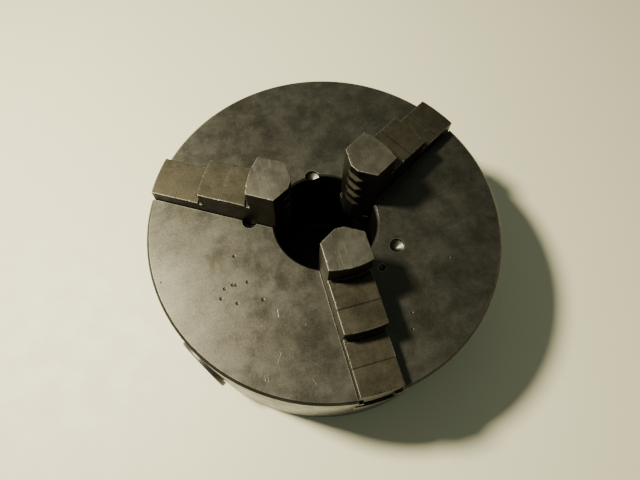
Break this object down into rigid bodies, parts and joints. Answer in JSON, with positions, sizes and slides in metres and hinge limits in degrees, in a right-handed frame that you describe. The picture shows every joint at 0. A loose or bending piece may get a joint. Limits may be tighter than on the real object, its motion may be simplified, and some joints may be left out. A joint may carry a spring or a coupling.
{
  "type": "lathe chuck",
  "caption": "Self-centring lathe chuck with a round steel body, stepped jaws in radial slots, a spiral scroll and square-socket key pinions.",
  "frame": {"origin": "centre of the chuck's back face, on the spindle axis", "axes": "+Z along the spindle axis towards the jaws; +Y through the key socket of pinion 1"},
  "size_m": [0.2, 0.2021, 0.1111],
  "materials": {
    "body_steel": "ground, worn and stained",
    "jaw_steel": "ground hardened steel, brown patina",
    "scroll_steel": "turned and oiled",
    "pinion_steel": "turned, dark",
    "bush_steel": "turned",
    "cover_iron": "turned, oil-darkened",
    "ring_iron": "turned, oiled",
    "screw_steel": "black oxide",
    "dowel_steel": "ground"
  },
  "bodies": {
    "chuck_group": {"chuck_body": "body_steel", "back_cover": "cover_iron", "bearing_ring": "ring_iron", "dowel_pin_1": "dowel_steel", "dowel_pin_2": "dowel_steel", "dowel_pin_3": "dowel_steel", "pinion_bush_1": "bush_steel", "pinion_bush_2": "bush_steel", "pinion_bush_3": "bush_steel", "pinion_screw_1": "screw_steel", "pinion_screw_2": "screw_steel", "pinion_screw_3": "screw_steel", "cover_screw_1": "screw_steel", "cover_screw_2": "screw_steel", "cover_screw_3": "screw_steel", "cover_screw_4": "screw_steel", "cover_screw_5": "screw_steel", "cover_screw_6": "screw_steel"},
    "scroll": {"scroll_plate": "scroll_steel"},
    "jaw_1_body": {"jaw_1": "jaw_steel"},
    "jaw_2_body": {"jaw_2": "jaw_steel"},
    "jaw_3_body": {"jaw_3": "jaw_steel"},
    "pinion_1_body": {"pinion_1": "pinion_steel"},
    "pinion_2_body": {"pinion_2": "pinion_steel"},
    "pinion_3_body": {"pinion_3": "pinion_steel"}
  },
  "joints": [
    {"name": "scroll_spin", "type": "hinge", "parent": "chuck_group", "child": "scroll", "pos_m": [0, 0, 0.048], "axis": [0, 0, 1], "range_deg": [-720, 648]},
    {"name": "jaw_1_slide", "type": "slide", "parent": "chuck_group", "child": "jaw_1_body", "axis": [-0.866, 0.5, 0], "range_m": [-0.01801, 0.02001]},
    {"name": "jaw_2_slide", "type": "slide", "parent": "chuck_group", "child": "jaw_2_body", "axis": [0.866, 0.5, 0], "range_m": [-0.01801, 0.02001]},
    {"name": "jaw_3_slide", "type": "slide", "parent": "chuck_group", "child": "jaw_3_body", "axis": [0, -1, 0], "range_m": [-0.01801, 0.02001]},
    {"name": "pinion_1_spin", "type": "hinge", "parent": "chuck_group", "child": "pinion_1_body", "pos_m": [0, 0, 0.034], "axis": [0, 1, 0], "range_deg": [-4472, 4969]},
    {"name": "pinion_2_spin", "type": "hinge", "parent": "chuck_group", "child": "pinion_2_body", "pos_m": [0, 0, 0.034], "axis": [-0.866, -0.5, 0], "range_deg": [-4472, 4969]},
    {"name": "pinion_3_spin", "type": "hinge", "parent": "chuck_group", "child": "pinion_3_body", "pos_m": [0, 0, 0.034], "axis": [0.866, -0.5, 0], "range_deg": [-4472, 4969]}
  ],
  "couplings": [
    {"joint": "jaw_1_slide", "follows": "scroll_spin", "m_per_rad": -0.0015915},
    {"joint": "jaw_2_slide", "follows": "scroll_spin", "m_per_rad": -0.0015915},
    {"joint": "jaw_3_slide", "follows": "scroll_spin", "m_per_rad": -0.0015915},
    {"joint": "pinion_1_spin", "follows": "scroll_spin", "ratio": -6.9},
    {"joint": "pinion_2_spin", "follows": "scroll_spin", "ratio": -6.9},
    {"joint": "pinion_3_spin", "follows": "scroll_spin", "ratio": -6.9}
  ]
}
